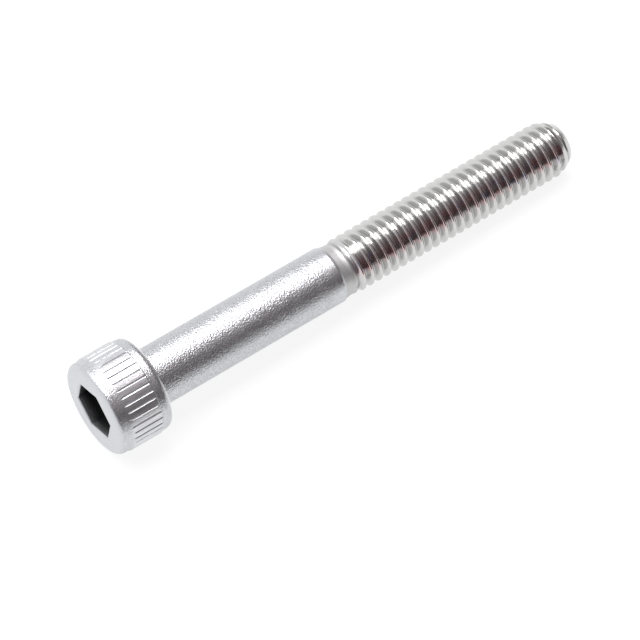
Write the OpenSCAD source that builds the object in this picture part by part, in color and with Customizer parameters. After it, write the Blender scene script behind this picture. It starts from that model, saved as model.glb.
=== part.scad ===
// Hex socket head cap screw, M6 x 1 x 50 mm, partly threaded, in one piece of zinc-plated steel.
// The screw is drawn upright about its own axis: the bearing face of the head lies at height 0, the
// shank and the thread rise above it, and the head hangs below it with its socket facing down.
// It is then laid on its side, as it comes to rest on a flat surface.

/* [Head] */
// Diameter over the knurl
head_d = 10; // [9:0.1:12]
// Height of the head
head_h = 6; // [5.2:0.1:8]
// How far the knurl stands over the plain margins at both ends of the head
knurl_rise = 0.12; // [0.06:0.01:0.2]
// Number of knurl grooves round the head
knurl_count = 40; // [24:2:56]
// Width of one knurl groove at its top
knurl_gap = 0.3; // [0.2:0.02:0.4]
// Plain margin between the socket face and the knurl
front_margin = 1.1; // [0.8:0.1:1.6]
// Plain margin between the knurl and the bearing face
rear_margin = 1.3; // [0.8:0.1:1.6]
// Rounding of the edge round the socket face
front_round = 0.6; // [0.2:0.05:0.75]
// Rounding of the edge round the bearing face
rear_round = 0.7; // [0.1:0.05:0.75]

/* [Socket] */
// Width of the hexagonal socket across its flats
socket_af = 5; // [3.5:0.1:5.4]
// Depth of the flat walls of the socket
socket_depth = 3; // [2:0.1:3.8]
// Height of the cone at the foot of the socket
socket_cone = 0.9; // [0.3:0.1:1.2]
// Small chamfer along the edges of the socket's mouth
socket_chamfer = 0.1; // [0.05:0.01:0.2]
// Turn of the socket about the axis of the screw, in degrees
socket_turn = 9; // [-30:1:30]

/* [Shank] */
// Length of the screw under its head
length = 50; // [42:1:70]
// Diameter of the plain shank
shank_d = 5.94; // [5.8:0.01:6.4]
// Fillet between the shank and the bearing face
head_fillet = 0.25; // [0.15:0.05:0.5]
// Length of the taper from the shank to the thinner blank that the thread is rolled on
taper_len = 1.2; // [0.6:0.1:2]
// Plain length of the blank that shows between the taper and the thread
blank_len = 0.4; // [0.2:0.1:1]
// Diameter of the blank
blank_d = 5.46; // [5.3:0.01:5.6]

/* [Thread] */
// Outer diameter of the thread
thread_d = 5.88; // [5.7:0.01:6.2]
// Pitch of the thread
pitch = 1; // [0.9:0.05:1.25]
// Length of the full thread, with its point
thread_len = 25.5; // [16:0.1:30]
// Length over which the thread runs out towards the shank
runout_len = 2; // [1:0.1:3]
// Length of the tapered point
point_len = 1.7; // [1:0.1:2.2]
// How far the flat end of the point lies below the root of the thread
point_step = 0.3; // [0.1:0.05:0.6]
// How far the last full crest on the underside lies behind the point, in pitches
crest_back = 0.1; // [0:0.05:0.95]

/* [Hidden] */
$fn = 96;
// A cut reaches this far past the surface that it opens
past = 0.1;

// Radii from the axis
knurl_r = head_d / 2;
margin_r = knurl_r - knurl_rise;
shank_r = shank_d / 2;
blank_r = blank_d / 2;
thread_r = thread_d / 2;
thread_depth = 0.6134 * pitch;
root_r = thread_r - thread_depth;
point_r = root_r - point_step;

// Heights along the axis
knurl_from = front_margin - head_h;
knurl_to = -rear_margin;
thread_from = length - thread_len - runout_len;
taper_to = thread_from - blank_len;
shank_len = taper_to - taper_len;
point_from = length - point_len;

// One quarter of the waste outside a rounded corner, seen from the centre of the rounding
module corner_waste(radius) {
    difference() {
        square(radius + past);
        circle(radius);
    }
}

// Half section of the turned blank, with the radius along X and the height along Y
module blank_outline() {
    fillet_r = shank_r + head_fillet;
    difference() {
        polygon([
            [0, -head_h],
            [margin_r, -head_h],
            [margin_r, knurl_from],
            [knurl_r, knurl_from + knurl_rise],
            [knurl_r, knurl_to - knurl_rise],
            [margin_r, knurl_to],
            [margin_r, 0],
            [fillet_r, 0],
            [fillet_r, head_fillet],
            [shank_r, head_fillet],
            [shank_r, shank_len],
            [blank_r, taper_to],
            [blank_r, thread_from],
            [0, thread_from]
        ]);
        translate([margin_r - front_round, front_round - head_h])
            mirror([0, 1])
                corner_waste(front_round);
        translate([margin_r - rear_round, -rear_round])
            corner_waste(rear_round);
        translate([fillet_r, head_fillet])
            circle(head_fillet);
    }
}

// Straight V grooves that leave the raised lands of the knurl between them. A land faces the ground.
module knurl_grooves() {
    side = knurl_gap / sqrt(2);
    run = knurl_to - knurl_from + 2 * past;
    for (i = [0 : knurl_count - 1])
        rotate((i + 0.5) * 360 / knurl_count)
            translate([knurl_r, 0, (knurl_from + knurl_to) / 2])
                rotate(45)
                    cube([side, side, run], center = true);
}

// Hexagonal socket: flat walls, a blunt cone at the foot and a chamfered mouth
module socket_cut() {
    flat = socket_af / 2;
    mouth = flat + socket_chamfer + past;
    inner = flat - past;
    lip = socket_chamfer + 2 * past;
    rotate(socket_turn)
        translate([0, 0, -head_h]) {
            translate([0, 0, -past]) {
                cylinder(r = flat / cos(30), h = past + socket_depth, $fn = 6);
                cylinder(r1 = mouth / cos(30), r2 = inner / cos(30), h = lip, $fn = 6);
            }
            translate([0, 0, socket_depth])
                cylinder(r1 = inner, r2 = flat / 4, h = socket_cone);
        }
}

// The form of one pitch of thread: place in pitches, and height between the root and the crest.
// The flanks lean 30 degrees, the crest is rounded and the root is a narrow flat.
crest_half = 0.09;
flank = thread_depth * tan(30) / pitch;
shoulder = 0.13;
thread_form = [
    [0, 1],
    [shoulder, 1 - (shoulder - crest_half) / flank],
    [crest_half + flank, 0],
    [1 - crest_half - flank, 0],
    [1 - shoulder, 1 - (shoulder - crest_half) / flank],
    [1, 1]
];
rows = len(thread_form) - 1;
columns = 32;

// The thread's rod starts inside the end of the blank, so that the two join in one solid
plug = 0.3;
rod_from = thread_from - plug;
seat_r = blank_r - 0.02;
// The flat between the first two columns faces the ground, and its last full crest is here
last_crest = point_from - crest_back * pitch;
crest_shift = (last_crest - rod_from) / pitch;
first_turn = crest_shift - floor(crest_shift) - 2;
stack = rows * (ceil((length - rod_from) / pitch) + 3);

// Place of a row of vertices along the rod, in pitches from its start and before it is trimmed.
// Each column lies a little further along the helix than the one before it.
function turned(i) = (i - 0.5) / columns;
function row_place(i, k) = first_turn + floor(k / rows) + thread_form[k % rows][0] + turned(i);
// The same as a height, trimmed to the ends of the rod
function row_z(i, k) = max(rod_from, min(length, rod_from + pitch * row_place(i, k)));
// How far the thread has grown out of the plain blank: 0 where it starts and 1 where it is full
function growth(z, share) = max(0, min(1, (z - thread_from) / (runout_len * share)));
// Metal that the rolling moved: crests grow over the blank in half the run-out, roots sink in all of it
function rolled_r(z, form_r) =
    form_r > seat_r
        ? seat_r + (form_r - seat_r) * growth(z, 0.5)
        : seat_r + (form_r - seat_r) * growth(z, 1);
// The tapered point turns off whatever stands over its cone
function point_cone_r(z) = point_r + (thread_r - point_r) * (length - z) / point_len;
function thread_surface_r(i, k) =
    let (z = row_z(i, k), form_r = root_r + thread_depth * thread_form[k % rows][1])
        min(rolled_r(z, form_r), point_cone_r(z));
function thread_vertex(i, k) =
    let (r = thread_surface_r(i, k), a = 360 * turned(i))
        [r * cos(a), r * sin(a), row_z(i, k)];
// After the last column the surface goes on in column 0, one turn up
function vertex_index(i, k) = i < columns ? i * (stack + 1) + k : k + rows;
function rises(i, k) = row_z(i, k) < row_z(i, k + 1);

// Right-hand thread as one closed helicoid, from its run-out on the blank to the flat of the point
module threaded_rod() {
    points = [for (i = [0 : columns - 1]) for (k = [0 : stack]) thread_vertex(i, k)];
    skin = [
        for (i = [0 : columns - 1]) for (k = [0 : stack - rows - 1])
            each [
                if (rises(i + 1, k))
                    [vertex_index(i, k), vertex_index(i + 1, k + 1), vertex_index(i + 1, k)],
                if (rises(i, k))
                    [vertex_index(i, k), vertex_index(i, k + 1), vertex_index(i + 1, k + 1)]
            ]
    ];
    lower_end = [for (i = [0 : columns - 1]) vertex_index(i, 0)];
    upper_end = [for (i = [columns - 1 : -1 : 0]) vertex_index(i, stack)];
    polyhedron(points = points, faces = concat(skin, [lower_end, upper_end]));
}

module upright_screw() {
    difference() {
        rotate_extrude()
            blank_outline();
        knurl_grooves();
        socket_cut();
    }
    threaded_rod();
}

// At rest the screw lies on the rear end of one land of its knurl and on its last full crest, so that
// its axis falls gently towards the point
heel = knurl_to - knurl_rise;
crest_flat_r = thread_r * cos(180 / columns);
fall = atan((knurl_r - crest_flat_r) / (last_crest - heel));
rest_height = knurl_r * cos(fall) + heel * sin(fall);
round_r = margin_r - front_round;
socket_end = (front_round - head_h) * cos(fall) - round_r * sin(fall) - front_round;
point_end = length * cos(fall) + point_r * sin(fall);

// One solid steel screw. The origin is on the ground, under the middle of the screw.
module cap_screw() {
    color("silver")
        translate([-(socket_end + point_end) / 2, 0, rest_height])
            rotate([0, 90 + fall, 0])
                upright_screw();
}

cap_screw();
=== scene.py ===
"""A hex socket cap screw, M6 x 1 x 50 mm, in zinc-plated steel, lying on a pale floor."""

import math

import bpy
import numpy as np
from mathutils import Matrix, Vector


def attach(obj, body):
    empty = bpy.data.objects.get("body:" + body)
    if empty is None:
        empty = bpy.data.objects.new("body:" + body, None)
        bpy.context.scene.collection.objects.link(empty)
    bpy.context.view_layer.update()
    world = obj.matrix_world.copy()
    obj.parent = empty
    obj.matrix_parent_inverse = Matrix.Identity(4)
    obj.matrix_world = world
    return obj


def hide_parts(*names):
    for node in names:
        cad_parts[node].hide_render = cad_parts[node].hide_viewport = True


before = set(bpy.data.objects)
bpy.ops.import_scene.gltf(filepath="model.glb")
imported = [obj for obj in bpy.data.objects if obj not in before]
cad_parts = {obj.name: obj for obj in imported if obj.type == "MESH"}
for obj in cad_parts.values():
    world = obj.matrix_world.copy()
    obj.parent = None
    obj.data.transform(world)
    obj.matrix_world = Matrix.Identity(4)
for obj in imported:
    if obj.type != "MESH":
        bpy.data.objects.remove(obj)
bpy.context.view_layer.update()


# The way the screw lies
# It is one piece of steel that rolls until a land of its knurl and its last full crest touch the
# ground, so its axis dips towards the point. Everything below is laid on that axis, as one skin.

# sizes are in mm, angles in degrees, and heights run along the axis from under the head
MM = 0.001
KNURL_R = 5.0
KNURL_TO = -1.3
KNURL_RISE = 0.12
LENGTH = 50.0
POINT_R = 2.0266
HEAD_H = 6.0
MARGIN_R = KNURL_R - KNURL_RISE
FACE_R = 4.28
LAST_CREST = 48.2
CREST_FLAT_R = 2.9258

heel = KNURL_TO - KNURL_RISE
fall = math.atan((KNURL_R - CREST_FLAT_R) / (LAST_CREST - heel))
ALONG = np.array([math.cos(fall), 0.0, -math.sin(fall)])
DOWN = np.array([-math.sin(fall), 0.0, -math.cos(fall)])
ACROSS = np.array([0.0, 1.0, 0.0])
front_round = MARGIN_R - FACE_R
head_end = (front_round - HEAD_H) * math.cos(fall) - FACE_R * math.sin(fall) - front_round
point_end = LENGTH * math.cos(fall) + POINT_R * math.sin(fall)
START = np.array([-(head_end + point_end) / 2, 0.0, KNURL_R * math.cos(fall) + heel * math.sin(fall)])

MARKS = ("height", "groove", "pit", "rolled", "stain")
skin_points, skin_marks, skin_faces = [], [], []


def lay(radius, angle, height, groove=0.0, pit=0.0, rolled=0.0, stain=0.0):
    """Adds points to the skin and gives their numbers, in the shape of the arrays given.
    Place = start + along * height + down * radius * cos(angle) + across * radius * sin(angle),
    with the angle from straight down. The last four are marks for the plating, from 0 to 1."""
    radius, angle, height, groove, pit, rolled, stain = np.broadcast_arrays(
        radius, angle, height, groove, pit, rolled, stain
    )
    turn = np.radians(angle)
    place = START + height[..., None] * ALONG
    place = place + (radius * np.cos(turn))[..., None] * DOWN
    place = place + (radius * np.sin(turn))[..., None] * ACROSS
    first = sum(len(p) for p in skin_points)
    skin_points.append(place.reshape(-1, 3))
    skin_marks.append(np.stack([height, groove, pit, rolled, stain], axis=-1).reshape(-1, len(MARKS)))
    return np.arange(first, first + radius.size).reshape(radius.shape)


# Socket
# A 5 mm hexagon pressed cold into the head, with flat walls, a small ledge and a blunt cone that the
# punch leaves at the foot. Its walls stay dull, and painted shade darkens them from the mouth down.
HEAD_COLUMNS = 480
FIRST_COLUMN = 6
SOCKET_FLAT = 2.5
SOCKET_TURN = 9.0
MOUTH_CHAMFER = 0.1
WALL_DEPTH = 3.0
CONE_TOP_R, CONE_FOOT_R, CONE_DEPTH = 2.4, 0.625, 0.9
# painted shade in the socket: faint at the mouth, deepening down the walls to full at this depth, and full
# on the cone
MOUTH_SHADE, WALL_SHADE, FULL_SHADE_DEPTH = 0.05, 0.2, 0.9


def join(rows):
    """Closes the skin between rows of numbers that run round the axis: each face takes two
    neighbours of one row and the same two of the next, and the last column meets the first."""
    low, high = rows[:-1], rows[1:]
    quads = np.stack([low, np.roll(low, -1, 1), np.roll(high, -1, 1), high], axis=-1)
    skin_faces.extend(quads.reshape(-1, 4).tolist())


def fan(middle, ring):
    """Closes the skin inside a ring: each face takes the middle and two neighbours of the ring."""
    skin_faces.extend(np.stack([np.full(ring.shape, middle), ring, np.roll(ring, -1)], axis=-1).tolist())


even = (np.arange(HEAD_COLUMNS) + FIRST_COLUMN) * 360 / HEAD_COLUMNS
hexed = even + SOCKET_TURN % (360 / HEAD_COLUMNS)


def hexagon(flat):
    """Distance from the axis to a hexagon's side: flat / cos(angle from the middle of that side)."""
    return flat / np.cos(np.radians((hexed - SOCKET_TURN) % 60 - 30))


ceiling = -HEAD_H + WALL_DEPTH
foot = ceiling + CONE_DEPTH
centre = lay(0.0, 0.0, foot, pit=1.0)
foot_ring = lay(CONE_FOOT_R, hexed, foot, pit=1.0)
fan(centre, foot_ring[::-1])
cone_mid = lay((CONE_TOP_R + CONE_FOOT_R) / 2, hexed, (foot + ceiling) / 2, pit=1.0)
cone_ring = lay(CONE_TOP_R, hexed, ceiling, pit=1.0)
depth = np.array([WALL_DEPTH, 2.2, 1.5, 1.1, 0.8, 0.55, 0.35, 0.2, MOUTH_CHAMFER])[:, None]
wall_shade = np.clip(WALL_SHADE + (1 - WALL_SHADE) * depth / FULL_SHADE_DEPTH, 0, 1)
walls = lay(hexagon(SOCKET_FLAT), hexed, -HEAD_H + depth, pit=wall_shade)
mouth = lay(hexagon(SOCKET_FLAT + MOUTH_CHAMFER), hexed, -HEAD_H, pit=MOUTH_SHADE)
join(np.vstack([foot_ring, cone_mid, cone_ring, walls, mouth]))


# Head
# Cold-headed and turned to a cylinder, then knurled by a rolled die: forty straight V grooves between
# flat lands, with plain rounded margins at both ends. The grooves start and stop a little unevenly.
KNURL_FROM = -4.9
GROOVES = 40
# the turn of the knurl and the half width of a groove are shares of the step between two grooves
KNURL_TURN = 0.09
GROOVE_HALF = 0.115
GROOVE_DEPTH = 0.085
GROOVE_FADE_FRONT, GROOVE_FADE_REAR = 0.35, 0.15
RAMP_LEAD, FRONT_RAMP = 0.2, 0.5
GROOVE_END_SHADE, GROOVE_END_SHADE_FROM_END, GROOVE_END_SHADE_HALF = 0.55, 0.12, 0.2
REAR_ROUND = 0.7
HEAD_FILLET = 0.25
SHANK_R = 2.97
SHANK_COLUMNS = 96
shares = np.array([0, 0.035, 0.075, 0.12, 0.17, 0.24, 0.5, 0.76, 0.83, 0.88, 0.925, 0.965])
groove_step = 360 / GROOVES
knurled = ((np.arange(GROOVES)[:, None] + 0.5 + KNURL_TURN + shares) * groove_step).ravel()
from_groove = np.tile(np.minimum(shares, 1 - shares), GROOVES)
groove_number = (np.arange(GROOVES)[:, None] + (shares > 0.5)).ravel() % GROOVES


def arc(radius_centre, height_centre, across, along, start, end, steps):
    """Radii and heights on part of an ellipse: centre + (across * cos t, along * sin t)."""
    t = np.radians(np.linspace(start, end, steps))
    return radius_centre + across * np.cos(t), height_centre + along * np.sin(t)


def smooth(x):
    """A soft step from 0 to 1: 3 x squared less 2 x cubed, held at its ends."""
    x = np.clip(x, 0, 1)
    return x * x * (3 - 2 * x)


face_share = np.array([0.12, 0.35, 0.6, 0.82])[:, None]
face_angle = hexed + (knurled - hexed) * face_share
face_radius = hexagon(SOCKET_FLAT + MOUTH_CHAMFER) * (1 - face_share) + FACE_R * face_share
face = lay(face_radius, face_angle, -HEAD_H)

edge_r, edge_h = arc(FACE_R, front_round - HEAD_H, front_round, front_round, -90, 0, 12)
edge = lay(edge_r[:, None], knurled, edge_h[:, None])

knurl_rows = np.concatenate(
    [
        [KNURL_FROM - 0.2, KNURL_FROM - 0.1],
        KNURL_FROM + np.array([0.0, 0.05, 0.1, 0.15, 0.22, 0.3, 0.4, 0.55, 0.8, 1.2]),
        KNURL_TO - np.array([1.9, 1.2, 0.8, 0.55, 0.4, 0.3, 0.22, 0.15, 0.1, 0.05, 0.0]),
        [KNURL_TO + 0.06, KNURL_TO + 0.2, KNURL_TO + 0.5],
    ]
)[:, None]
uneven = np.random.default_rng(40)
starts = KNURL_FROM + uneven.uniform(0.0, 0.3, GROOVES)[groove_number]
stops = KNURL_TO - uneven.uniform(0.0, 0.12, GROOVES)[groove_number]
strength = uneven.uniform(0.65, 1.15, GROOVES)[groove_number]

front_rise = smooth((knurl_rows - KNURL_FROM + RAMP_LEAD) / FRONT_RAMP)
raised = front_rise * smooth((KNURL_TO - knurl_rows) / KNURL_RISE)
groove_run = smooth((knurl_rows - starts) / GROOVE_FADE_FRONT)
groove_run = groove_run * smooth((stops - knurl_rows) / GROOVE_FADE_REAR)
groove_form = np.clip(1 - from_groove / GROOVE_HALF, 0, 1) * strength
knurl_r = MARGIN_R + KNURL_RISE * raised - GROOVE_DEPTH * groove_run * groove_form
# painted shade, darkest a little before the rear end of each groove
groove_end_shade = GROOVE_END_SHADE * groove_form * smooth(1 - np.abs(stops - GROOVE_END_SHADE_FROM_END - knurl_rows) / GROOVE_END_SHADE_HALF)
knurl = lay(knurl_r, knurled, knurl_rows, groove=groove_run * groove_form, pit=groove_end_shade)

back_r, back_h = arc(MARGIN_R - REAR_ROUND, -REAR_ROUND, REAR_ROUND, REAR_ROUND, 0, 90, 10)
back = lay(back_r[:, None], knurled, back_h[:, None])
fillet_r = SHANK_R + HEAD_FILLET
seat = lay(fillet_r + 0.3, even, 0.0)
join(np.vstack([mouth, face, edge, knurl, back, seat]))

# each column of the shank meets a few columns of the head
fillet_radii, fillet_heights = arc(fillet_r, HEAD_FILLET, -HEAD_FILLET, -HEAD_FILLET, 90, 0, 6)
per_column = HEAD_COLUMNS // SHANK_COLUMNS
round_shank = even[::per_column]
fillet = lay(fillet_radii[:, None], round_shank, fillet_heights[:, None])
met = np.arange(SHANK_COLUMNS)[:, None] * per_column + np.arange(per_column + 1)
inner = np.stack([np.roll(fillet[0], -1), fillet[0]], axis=-1)
skin_faces.extend(np.hstack([seat[met % HEAD_COLUMNS], inner]).tolist())


# Shank
# Drawn wire, plain and satin from the plating, which steps down and tapers to the thinner blank that
# the thread was rolled on. A clear edge shows where the full diameter ends.
SHANK_LEN, TAPER_TO, THREAD_FROM = 21.6, 22.5, 22.8
BLANK_R = 2.73
# how much of the drop the edge takes, and over how much of the taper's length
NECK_STEP, NECK_STEP_LEN = 0.4, 0.2
shank_rows = np.concatenate([[0.5, 1.0], np.linspace(2, 21, 20), [SHANK_LEN - 0.1, SHANK_LEN]])
shank = lay(SHANK_R, round_shank, shank_rows[:, None])
neck_share = np.linspace(0, 1, 9)[1:]
neck_drop = NECK_STEP * smooth(neck_share / NECK_STEP_LEN) + (1 - NECK_STEP) * neck_share
neck_r = SHANK_R + (BLANK_R - SHANK_R) * neck_drop
neck_h = SHANK_LEN + (TAPER_TO - SHANK_LEN) * neck_share
neck = lay(neck_r[:, None], round_shank, neck_h[:, None])
blank_h = np.array([(TAPER_TO + THREAD_FROM) / 2, THREAD_FROM])
blank = lay(BLANK_R, round_shank, blank_h[:, None])
join(np.vstack([fillet, shank, neck, blank]))


# Thread and point
# A right-hand M6 x 1 thread rolled between flat dies, which leaves rounded roots and crests and lets
# them fade out towards the shank. The point is a short cone with a rounded edge.
THREAD_R = 2.94
PITCH = 1.0
RUNOUT = 1.7
THREAD_DEPTH = 0.6134 * PITCH
ROOT_R = THREAD_R - THREAD_DEPTH
CREST_HALF, FLANK, SOFTNESS = 0.09, 0.354, 0.1
POINT_LEN, POINT_BULGE = 2.1, 1.6
form_places = np.array(
    [0, 0.03, 0.06, 0.09, 0.13, 0.19, 0.25, 0.31, 0.36, 0.41, 0.455]
    + [0.5, 0.545, 0.59, 0.64, 0.69, 0.75, 0.81, 0.87, 0.91, 0.94, 0.97]
)
form_rows = len(form_places)


def thread_form(place):
    """Height of the thread between root, 0, and crest, 1: two straight flanks that lean 30 degrees,
    rounded over at the crest and rounded out at the root by a soft least and a soft most."""
    away = np.minimum(place % 1, 1 - place % 1)
    flank = 1 - (away - CREST_HALF) / FLANK
    top = 0.5 * (flank + 1 - np.sqrt((flank - 1) ** 2 + SOFTNESS**2))
    return np.clip(0.5 * (top + np.sqrt(top**2 + SOFTNESS**2)), 0, None)


turns = int(LENGTH - THREAD_FROM) + 4
first_turn = math.floor((THREAD_FROM - LAST_CREST) / PITCH) - 1
place_in_turns = first_turn + (np.arange(turns)[:, None] + form_places).ravel()
thread_h = LAST_CREST + PITCH * (place_in_turns + round_shank[:, None] / 360)
shape = thread_form(place_in_turns)
full_r = ROOT_R + THREAD_DEPTH * shape
# crests grow out of the blank over half the run-out, and roots sink into it over all of it
grown = np.clip((thread_h - THREAD_FROM) / RUNOUT, 0, 1)
rolled_r = BLANK_R + (full_r - BLANK_R) * np.where(full_r > BLANK_R, np.clip(2 * grown, 0, 1), grown)
left = np.clip((LENGTH - thread_h) / POINT_LEN, 0, 1)
point_cone_r = POINT_R + (THREAD_R - POINT_R) * (1 - (1 - left) ** POINT_BULGE)
thread_r = np.minimum(rolled_r, point_cone_r)


def turned_from(angle):
    """How far each column of the shank is turned from an angle, between -180 and 180."""
    return (round_shank[:, None] - angle + 180) % 360 - 180


# painted shade in the roots, and small specks of residue low on the near side, by height and angle
ROOT_SHADE = 0.28
SPECKS = [(23.3, -92), (24.3, -91), (47.4, -91), (48.2, -97)]
SPECK_DARK, SPECK_R = 0.4, 0.3
speck = np.zeros(thread_h.shape)
for speck_height, speck_angle in SPECKS:
    away = np.hypot(thread_h - speck_height, np.radians(turned_from(speck_angle)) * THREAD_R)
    speck = np.maximum(speck, SPECK_DARK * smooth(1.6 - away / SPECK_R))
specks_and_root_shade = np.maximum(speck, ROOT_SHADE * (1 - shape) ** 2)

# a stain along the near side of the thread, which ends before the point
STAIN_ANGLE, STAIN_HALF = -131, 21
STAIN_END, STAIN_FADE = 49.0, 0.8
stain = smooth(1.3 - np.abs(turned_from(STAIN_ANGLE)) / STAIN_HALF)
stain = stain * smooth((STAIN_END - thread_h) / STAIN_FADE)

# points within a hair of the thread's ends give way to the ring there
HAIR = 0.01
end_ring = lay(POINT_R, round_shank, LENGTH, rolled=1.0)
numbers = np.empty(thread_h.shape, int)
before, after = thread_h < THREAD_FROM + HAIR, thread_h > LENGTH - HAIR
inside = ~(before | after)
numbers[inside] = lay(
    thread_r[inside],
    np.broadcast_to(round_shank[:, None], thread_h.shape)[inside],
    thread_h[inside],
    pit=specks_and_root_shade[inside],
    rolled=smooth(thread_h[inside] - THREAD_FROM),
    stain=stain[inside],
)
numbers[before] = np.broadcast_to(blank[-1][:, None], numbers.shape)[before]
numbers[after] = np.broadcast_to(end_ring[:, None], numbers.shape)[after]
# one turn further up, the first column follows the last
next_first = np.concatenate([numbers[0, form_rows:], np.full(form_rows, end_ring[0])])
ahead = np.vstack([numbers[1:], next_first])
cells = np.stack([numbers[:, :-1], ahead[:, :-1], ahead[:, 1:], numbers[:, 1:]], axis=-1).reshape(-1, 4)
whole = (cells != np.roll(cells, 1, axis=1)).all(axis=1) & (cells[:, 0] != cells[:, 2])
skin_faces.extend(cells[whole].tolist())
halves = np.vstack([cells[~whole][:, [0, 1, 2]], cells[~whole][:, [0, 2, 3]]])
halves = halves[(halves != np.roll(halves, 1, axis=1)).all(axis=1)]
skin_faces.extend(halves.tolist())
fan(lay(0.0, 0.0, LENGTH, rolled=1.0), end_ring)


def put(name, data):
    """A new object at the origin, linked to the scene."""
    thing = bpy.data.objects.new(name, data)
    bpy.context.scene.collection.objects.link(thing)
    return thing


SHARP_EDGE = 38
screw_mesh = bpy.data.meshes.new("plated_screw")
screw_mesh.from_pydata((np.vstack(skin_points) * MM).tolist(), [], skin_faces)
for name, values in zip(MARKS, np.vstack(skin_marks).astype(np.float32).T):
    screw_mesh.attributes.new(name, "FLOAT", "POINT").data.foreach_set("value", values)
screw_mesh.validate()
screw_mesh.shade_smooth()
screw_mesh.set_sharp_from_angle(angle=math.radians(SHARP_EDGE))
screw = put("plated_screw", screw_mesh)


# Plating
# Bright zinc over cold-formed steel: satin and finely grained on the shank and the head, shinier and
# stained on the rolled thread, and duller in the socket, on the neck and along the grooves.
SHANK_COLOUR = (0.63, 0.64, 0.67, 1)
THREAD_COLOUR = (0.635, 0.635, 0.63, 1)
NECK_COLOUR = (0.60, 0.60, 0.60, 1)
REDDISH, BLUISH = (0.64, 0.47, 0.47, 1), (0.44, 0.48, 0.60, 1)
LAND_LINE_COLOUR = (0.92, 0.92, 0.94, 1)
RIM_HIGHLIGHT_COLOUR = (0.95, 0.95, 0.95, 1)
DOT_COLOUR = (0.2, 0.2, 0.2, 1)
GROOVE_SHADE_COLOUR = (0.30, 0.29, 0.28, 1)
SPECK_AND_SHADE_COLOUR = (0.035, 0.037, 0.038, 1)
GRAIN_PER_MM, DOTS_PER_MM = 6.7, 8.5
LINE_STRETCH = (0.12, 1.0, 1.0)
# in metres
GRAIN_HEIGHT = 0.00006


def start_on(owner):
    """Empties the nodes of a material or a world, and makes them the ones that add works on."""
    global tree
    owner.use_nodes = True
    tree = owner.node_tree
    tree.nodes.clear()


def add(kind, links=(), **settings):
    """A node with its settings, and links or values for its inputs, by name or number."""
    new = tree.nodes.new(kind)
    for key, value in settings.items():
        setattr(new, key, value)
    for key, value in dict(links).items():
        if isinstance(value, bpy.types.NodeSocket):
            tree.links.new(value, new.inputs[key])
        else:
            new.inputs[key].default_value = value
    return new


def mark(name):
    """One of the values that lie on the piece's own points."""
    return add("ShaderNodeAttribute", attribute_name=name).outputs["Fac"]


def reckon(operation, *values):
    """The sum, difference, product or greater of two values."""
    return add("ShaderNodeMath", dict(enumerate(values)), operation=operation).outputs[0]


def between(value, low, high, to_low=0.0, to_high=1.0, kind="SMOOTHSTEP"):
    """A soft step, or a straight one, from to_low below the low value to to_high above the high."""
    return add(
        "ShaderNodeMapRange",
        {"Value": value, "From Min": low, "From Max": high, "To Min": to_low, "To Max": to_high},
        interpolation_type=kind,
    ).outputs[0]


def blend(share, first, second):
    """A share of the second colour over the first."""
    return add("ShaderNodeMix", {0: share, 6: first, 7: second}, data_type="RGBA").outputs[2]


plating = bpy.data.materials.new("zinc_plating")
start_on(plating)
place = add("ShaderNodeTexCoord").outputs["Object"]
in_mm = add("ShaderNodeVectorMath", {0: place, "Scale": 1 / MM}, operation="SCALE").outputs[0]


def grain(scale, detail=1.0, rough=0.5, vector=None):
    """Noise with so many grains to the mm."""
    return add(
        "ShaderNodeTexNoise",
        {"Vector": vector or in_mm, "Scale": scale, "Detail": detail, "Roughness": rough},
    ).outputs["Fac"]


def shifted(distance):
    """Another stretch of the same noise."""
    return add("ShaderNodeVectorMath", {0: in_mm, 1: (distance,) * 3}, operation="ADD").outputs[0]


height, groove, pit, rolled, stain = (mark(name) for name in MARKS)
fine = grain(GRAIN_PER_MM, 1.0, 0.6)
off_face = between(height, 0.02 - HEAD_H, 0.4 - HEAD_H, 0.3, 0.75)
past_front = between(height, KNURL_FROM - 0.1, KNURL_FROM + 0.3)
before_rear = between(height, KNURL_TO - 0.3, KNURL_TO + 0.1, 0.65, 0.0)
on_knurl = reckon("MULTIPLY", past_front, before_rear)
grained_part = reckon("MULTIPLY", off_face, reckon("SUBTRACT", 1.0, on_knurl))
grained_part = reckon("MAXIMUM", grained_part, between(height, -0.4, 0.2))
near_neck = between(height, SHANK_LEN - 2.1, SHANK_LEN, 1.0, 0.6)
grained_part = reckon("MULTIPLY", grained_part, near_neck)
past_shank = between(height, SHANK_LEN, SHANK_LEN + 0.05, 1.0, 0.2)
grained_part = reckon("MULTIPLY", grained_part, past_shank)

colour = blend(rolled, SHANK_COLOUR, THREAD_COLOUR)
on_neck = between(height, SHANK_LEN, SHANK_LEN + 0.2)
bare_neck = reckon("MULTIPLY", on_neck, reckon("SUBTRACT", 1.0, rolled))
colour = blend(bare_neck, colour, NECK_COLOUR)
stained = reckon("MULTIPLY", stain, rolled)
reddish = between(grain(0.9, 1.0, vector=shifted(7.0)), 0.38, 0.6, 0.35, 1.0)
colour = blend(reckon("MULTIPLY", stained, reddish), colour, REDDISH)
bluish = between(grain(0.8, 1.0, vector=shifted(31.0)), 0.56, 0.7, 0.0, 0.6)
colour = blend(reckon("MULTIPLY", stained, bluish), colour, BLUISH)

# the fine lines of the lands run along the screw
drawn = add("ShaderNodeVectorMath", {0: in_mm, 1: LINE_STRETCH}, operation="MULTIPLY").outputs[0]
land_lines = between(grain(4.6, 1.0, vector=drawn), 0.46, 0.58)
lands_start = between(height, KNURL_FROM, KNURL_FROM + 0.4)
on_lands = reckon("MULTIPLY", lands_start, between(height, KNURL_TO - 0.2, KNURL_TO, 0.35, 0.0))
colour = blend(reckon("MULTIPLY", land_lines, on_lands), colour, LAND_LINE_COLOUR)
# a painted highlight: a thin ring on the rear rounding of the head is painted lighter, and made a little
# smoother
rim_highlight = reckon("MULTIPLY", between(height, -0.3, -0.18), between(height, -0.04, 0.02, 1.0, 0.0))
colour = blend(rim_highlight, colour, RIM_HIGHLIGHT_COLOUR)

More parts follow.
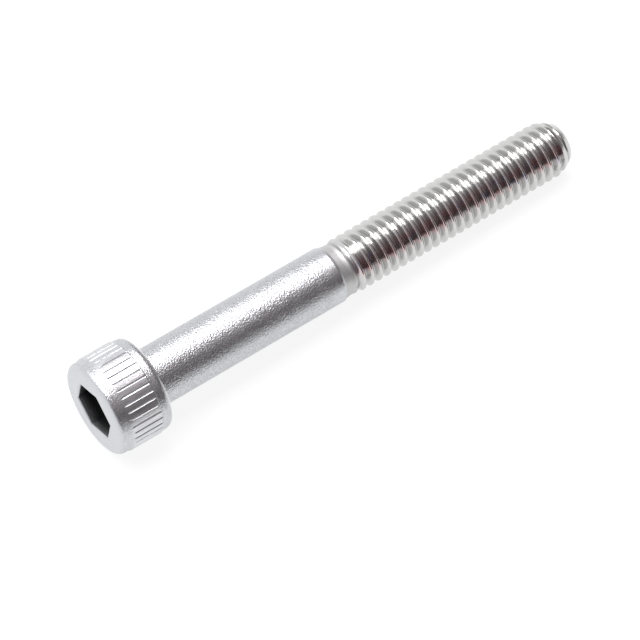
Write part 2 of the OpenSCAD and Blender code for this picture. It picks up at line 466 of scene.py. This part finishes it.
dots = grain(DOTS_PER_MM, 0.0, vector=shifted(3.0))
speckle = reckon("MULTIPLY", between(dots, 0.4, 0.66, 0.0, 0.36, "LINEAR"), grained_part)
colour = blend(speckle, colour, DOT_COLOUR)
# painted shade: a slight darkening along the grooves
colour = blend(reckon("MULTIPLY", groove, 0.06), colour, GROOVE_SHADE_COLOUR)
# the pit mark darkens real specks of residue, and paints shade in the socket, at the groove ends and in the
# thread roots
colour = blend(reckon("MULTIPLY", pit, 0.95), colour, SPECK_AND_SHADE_COLOUR)

roughness = between(grain(1.1, 2.0), 0.3, 0.7, 0.28, 0.33)
roughness = reckon("SUBTRACT", roughness, reckon("MULTIPLY", rolled, 0.14))
roughness = reckon("ADD", roughness, reckon("MULTIPLY", reckon("MAXIMUM", groove, pit), 0.15))
roughness = reckon("ADD", roughness, reckon("MULTIPLY", bare_neck, 0.2))
roughness = reckon("SUBTRACT", roughness, reckon("MULTIPLY", rim_highlight, 0.16))

grained = reckon("MULTIPLY", fine, grained_part)
bump = add("ShaderNodeBump", {"Height": grained, "Distance": GRAIN_HEIGHT, "Strength": 1.0})
zinc = add(
    "ShaderNodeBsdfPrincipled",
    {"Base Color": colour, "Roughness": roughness, "Normal": bump.outputs[0], "Metallic": 1.0},
)
add("ShaderNodeOutputMaterial", {"Surface": zinc.outputs[0]})
screw_mesh.materials.append(plating)
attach(screw, "root")
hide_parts("cap_screw")


# Floor
# A plain white table top. The camera and the metal see it nearly white, with the soft shadow of the
# screw left on it.

# in metres
FLOOR_SIDE = 3.0
FLOOR_GLOW = 0.85
TABLE_COLOUR = (0.8, 0.8, 0.8, 1)


def seen_or_lit(seen, lit):
    """Shows one shader to camera, glossy and transmission rays, and the other to the rest."""
    rays = add("ShaderNodeLightPath").outputs
    camera_or_glossy = reckon("MAXIMUM", rays["Is Camera Ray"], rays["Is Glossy Ray"])
    either = reckon("MAXIMUM", camera_or_glossy, rays["Is Transmission Ray"])
    return add("ShaderNodeMixShader", {0: either, 1: lit, 2: seen}).outputs[0]


floor_mesh = bpy.data.meshes.new("floor")
half = FLOOR_SIDE / 2
floor_corners = [(-half, -half, 0), (half, -half, 0), (half, half, 0), (-half, half, 0)]
floor_mesh.from_pydata(floor_corners, [], [(0, 1, 2, 3)])
floor = put("floor", floor_mesh)
floor_paint = bpy.data.materials.new("floor_white")
start_on(floor_paint)
plain = add("ShaderNodeBsdfDiffuse", {"Color": TABLE_COLOUR})
faint = add("ShaderNodeBsdfDiffuse", {"Color": (1 - FLOOR_GLOW,) * 3 + (1,)})
glow = add("ShaderNodeEmission", {"Strength": FLOOR_GLOW})
shown = add("ShaderNodeAddShader", {0: faint.outputs[0], 1: glow.outputs[0]})
add("ShaderNodeOutputMaterial", {"Surface": seen_or_lit(shown.outputs[0], plain.outputs[0])})
floor_mesh.materials.append(floor_paint)


# Light
# A long softbox overhead, a little behind the screw, in a white room. A graded dark card in front
# stands for the unlit side of the studio, and draws the dark band along the steel.
WHITE = (1, 1, 1, 1)
ROOM_LEVEL = 0.6

# in metres, and degrees from overhead
SOFTBOX_LEAN = 15.0
SOFTBOX_AWAY = 0.7
SOFTBOX_ALONG = -0.145
SOFTBOX_WIDE, SOFTBOX_LONG = 0.5, 0.95
SOFTBOX_POWER = 7.6

room = bpy.data.worlds.new("white_room")
bpy.context.scene.world = room
start_on(room)
seen_room = add("ShaderNodeBackground", {"Color": WHITE})
lit_room = add("ShaderNodeBackground", {"Color": WHITE, "Strength": ROOM_LEVEL})
add("ShaderNodeOutputWorld", {"Surface": seen_or_lit(seen_room.outputs[0], lit_room.outputs[0])})

softbox_lamp = bpy.data.lights.new("softbox", "AREA")
softbox_lamp.shape = "RECTANGLE"
softbox_lamp.size, softbox_lamp.size_y = SOFTBOX_LONG, SOFTBOX_WIDE
softbox_lamp.energy = SOFTBOX_POWER
softbox = put("softbox", softbox_lamp)
lean = math.radians(SOFTBOX_LEAN)
softbox.location = (SOFTBOX_ALONG, SOFTBOX_AWAY * math.sin(lean), SOFTBOX_AWAY * math.cos(lean))
softbox.rotation_euler = (-lean, 0, 0)
softbox.visible_camera = False

# the card bends round the front of the screw, and its foot runs back along the floor as a dark cloth
CARD_AWAY, CLOTH_AWAY = 0.6, 0.055
CARD_LIFT, CLOTH_LIFT = 0.003, 0.0005
CARD_COLUMNS = (-1.2, 0.25, 0.36)
COLUMN_SHARES = (0.4, 1.0, 0.6)
CARD_TINT = (1.0, 0.9, 0.92, 1)
GREY_LEANS = [0, 8, 16, 28, 40, 52, 64, 76, 90]
GREYS = [0.95, 0.80, 0.62, 0.45, 0.33, 0.27, 0.20, 0.15, 0.10]
# a flat panel closes the card beyond the point
PANEL_HALF, PANEL_TOP = 0.6, 1.0
PANEL_FRONT_GREY, PANEL_GREY = 0.06, 0.45

bend = np.linspace(0, 90, 31)
card_out = np.append(CARD_AWAY * np.sin(np.radians(bend)), CLOTH_AWAY)
card_up = np.append(CARD_AWAY * np.cos(np.radians(bend)) + CARD_LIFT, CLOTH_LIFT)
card_grey = np.interp(np.append(bend, 95), GREY_LEANS, GREYS)
column_len = len(card_grey)
card_points = np.stack(
    [np.repeat(CARD_COLUMNS, column_len), np.tile(-card_out, 3), np.tile(card_up, 3)], axis=-1
)
panel_x = CARD_COLUMNS[-1]
panel_points = [
    (panel_x, -PANEL_HALF, CARD_LIFT),
    (panel_x, PANEL_HALF, CARD_LIFT),
    (panel_x, PANEL_HALF, PANEL_TOP),
    (panel_x, -PANEL_HALF, PANEL_TOP),
]
panel_grey = [PANEL_FRONT_GREY, PANEL_GREY, PANEL_GREY, PANEL_FRONT_GREY]
numbers_on_card = np.arange(3 * column_len).reshape(3, column_len)
low, high = numbers_on_card[:-1], numbers_on_card[1:]
card_faces = np.stack([low[:, :-1], low[:, 1:], high[:, 1:], high[:, :-1]], axis=-1).reshape(-1, 4)
panel_face = 3 * column_len + np.arange(4)
card_mesh = bpy.data.meshes.new("dark_card")
card_mesh.from_pydata(card_points.tolist() + panel_points, [], np.vstack([card_faces, panel_face]).tolist())
greys = np.concatenate([np.outer(COLUMN_SHARES, card_grey).ravel(), panel_grey]).astype(np.float32)
card_mesh.attributes.new("grey", "FLOAT", "POINT").data.foreach_set("value", greys)
card = put("dark_card", card_mesh)
card_paint = bpy.data.materials.new("card_grey")
start_on(card_paint)
card_glow = add("ShaderNodeEmission", {"Color": CARD_TINT, "Strength": mark("grey")})
add("ShaderNodeOutputMaterial", {"Surface": card_glow.outputs[0]})
card_mesh.materials.append(card_paint)
for ray in ("camera", "diffuse", "transmission", "volume_scatter", "shadow"):
    setattr(card, "visible_" + ray, False)


# Camera
# Above the head end and in front of the screw, looking down along it from about seven times its length
# away, and level.

# in metres, and the lens in mm
CAMERA_PLACE = (-0.130988, -0.1780954, 0.3383399)
CAMERA_LOOKS = (0.318988, 0.438355, -0.840293)
LENS, SENSOR = 231.89, 36.0

camera_data = bpy.data.cameras.new("camera")
camera_data.lens, camera_data.sensor_width = LENS, SENSOR
camera_data.clip_start, camera_data.clip_end = 0.01, 10.0
camera = put("camera", camera_data)
aim = Vector(CAMERA_LOOKS).to_track_quat("-Z", "Y").to_matrix()
camera.matrix_world = Matrix.Translation(CAMERA_PLACE) @ aim.to_4x4()
bpy.context.scene.camera = camera
bpy.context.scene.view_settings.view_transform = "Standard"
